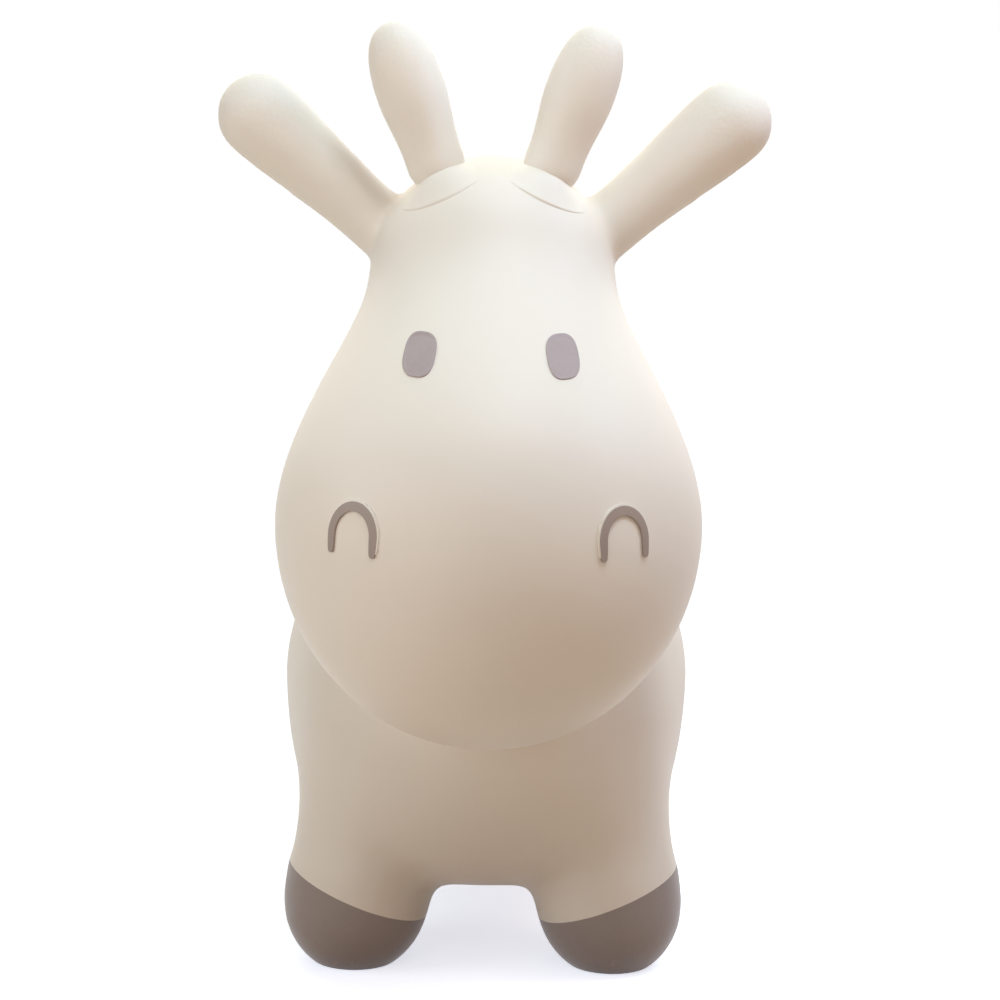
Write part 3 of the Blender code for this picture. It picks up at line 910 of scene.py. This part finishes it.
def lamp(name, kind, strength, tint, place, direction):
    """A lamp of a kind that shines from a place along a direction."""
    data = bpy.data.lights.new(name, kind)
    data.energy = strength
    data.color = tint
    obj = bpy.data.objects.new(name, data)
    bpy.context.scene.collection.objects.link(obj)
    obj.location = place
    obj.rotation_euler = Vector(direction).to_track_quat("-Z", "Y").to_euler()
    return data


def in_view(field):
    """1 for what the camera sees, straight, in a reflection or through a clear piece."""
    kinds = ("Is Camera Ray", "Is Glossy Ray", "Is Transmission Ray")
    straight, mirrored_back, through = (field.node("ShaderNodeLightPath", {}, {}, kind) for kind in kinds)
    return straight + mirrored_back + through


def lights():
    """Soft boxes round the face and a broad window behind."""
    face = Vector((0.0, -0.12, 0.36))
    muzzle = Vector((0.0, -0.17, 0.28))
    for name, strength, tint, size, place, target in (
        ("soft_box", 4.29, (0.85, 1.05, 1.10), 0.33, Vector((0.23, -0.42, 1.32)), face),
        ("front_fill", 1.45, (1.14, 0.96, 0.90), 0.5, Vector((0.0, -0.75, 0.95)), face),
        ("right_top", 3.40, (0.72, 0.95, 1.33), 0.37, Vector((0.90, -0.09, 1.17)), face),
        ("right_side", 1.46, (1.32, 0.93, 0.75), 0.5, Vector((0.95, -0.30, 0.62)), face),
        ("left_low", 1.98, (1.15, 0.97, 0.88), 0.5, Vector((-0.70, -1.10, 0.30)), muzzle),
        ("left_side", 2.44, (0.92, 1.03, 1.05), 0.5, Vector((-0.95, -0.45, 0.55)), muzzle),
    ):
        box = lamp(name, "AREA", strength, tint, place, target - place)
        box.shape = "SQUARE"
        box.size = size
    way = Vector((0.0, -1.0, -0.7))
    window = lamp("back_window", "SUN", 1.82, (1.15, 1.04, 0.81), way * -2.0, way)
    window.angle = math.radians(80.0)


def emptied(owner):
    """The node tree of a world or material with nothing in it, as a field."""
    owner.use_nodes = True
    owner.node_tree.nodes.clear()
    return Field(owner.node_tree)


def shown(field, unseen, seen, output):
    """Ends a node tree with one shader for the light it gives and another for what is seen of it."""
    mixed = field.node("ShaderNodeMixShader", {}, {0: in_view(field), 1: unseen, 2: seen})
    out = field.tree.nodes.new(output)
    field.tree.links.new(mixed.socket, out.inputs["Surface"])


def backdrop():
    """A white surround that lights the calf only as a dim warm room."""
    world = bpy.data.worlds.new("studio_world")
    bpy.context.scene.world = world
    field = emptied(world)
    room = field.node("ShaderNodeBackground", {}, {"Color": (1.0, 0.76, 0.56, 1.0), "Strength": 0.10})
    white = field.node("ShaderNodeBackground", {}, {"Color": (1.0, 1.0, 1.0, 1.0), "Strength": 1.0})
    shown(field, room, white, "ShaderNodeOutputWorld")


def pale_floor():
    """A pale floor that keeps the shadow and throws warm light up at the belly."""
    bpy.ops.object.select_all(action="DESELECT")
    bpy.ops.mesh.primitive_plane_add(size=600.0, location=(0.0, 0.0, -0.0002))
    floor = bpy.context.active_object
    floor.name = "studio_floor"
    made = bpy.data.materials.new("floor_paper")
    field = emptied(made)
    bounce = field.node("ShaderNodeBsdfDiffuse", {}, {"Color": (0.52, 0.41, 0.31, 1.0)})
    paper = field.node("ShaderNodeBsdfDiffuse", {}, {"Color": (0.82, 0.90, 1.0, 1.0)})
    glow = field.node("ShaderNodeEmission", {}, {"Color": (0.89, 0.91, 1.0, 1.0), "Strength": 0.72})
    paper = field.node("ShaderNodeAddShader", {}, {0: paper, 1: glow})
    shown(field, bounce, paper, "ShaderNodeOutputMaterial")
    floor.data.materials.append(made)


def build():
    cream = vinyl()
    eye_paint = paint("eye_mauve_paint", EYE_MAUVE, False)
    nostril_paint = paint("nostril_mauve_paint", NOSTRIL_MAUVE, False)
    hoof_paint = paint("hoof_mauve_paint", HOOF_MAUVE, True)
    white = plug_plastic()

    skin = skin_form()
    pocket = valve_pocket()
    modify(skin, "BOOLEAN", operation="DIFFERENCE", solver="EXACT", object=pocket)
    bpy.data.objects.remove(pocket)
    for side, sign in SIDES.items():
        dress(eye(side, sign, skin), eye_paint, "face_paint", "body", f"eye_{side}")
        bed, stroke = nostril(side, sign, skin)
        dress(bed, cream, "cream_vinyl", "body")
        dress(stroke, nostril_paint, "face_paint", "body", f"nostril_{side}")
    for side, sign in SIDES.items():
        root, way = mirrored(EAR_ROOT, sign), grip_way(sign, EAR_RISE)
        cut = root + way * EAR_CUT
        ear = parted(
            skin, f"ear_skin_{side}", lambda p: near_line(p, root, way, EAR_REACH, EAR_START), cut, way
        )
        close_up(ear)
        dress(ear, cream, "cream_vinyl", None, f"ear_{side}")
        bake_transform(ear)
        dress(mound(side, sign), cream, "cream_vinyl", "body")
        root, way = mirrored(HORN_ROOT, sign), grip_way(sign, HORN_RISE)
        tip = horn(side, sign)
        dress(tip, cream, "cream_vinyl", None, f"horn_{side}")
        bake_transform(tip)
    for name, foot in FEET.items():
        sign = math.copysign(1.0, foot.x)
        line = foot + leg_way(name) * HOOF_LINE
        down = Vector((sign * math.sin(HOOF_ROLL), 0.0, -math.cos(HOOF_ROLL)))
        hoof = parted(
            skin,
            f"hoof_skin_{name}",
            lambda p: (p.xy - foot.xy).length < HOOF_REACH and p.z < HOOF_TOP,
            line,
            down,
        )
        close_up(hoof)
        bevel(hoof, HOOF_BEVEL, 40.0)
        close_up(hoof)
        dress(hoof, hoof_paint, "hoof_paint", "body", f"hoof_{name}")
    close_up(skin)
    legs = [f"leg_{name}" for name in FEET]
    dress(skin, cream, "cream_vinyl", "body", "torso", "neck", "head", "tail", *legs)
    dress(valve_seat(), cream, "cream_vinyl", "body", "valve_seat")
    dress(valve_plug(), white, "plug_plastic", "plug", "valve_plug")


bpy.context.scene.view_settings.view_transform = "Standard"
camera()
lights()
backdrop()
pale_floor()
build()
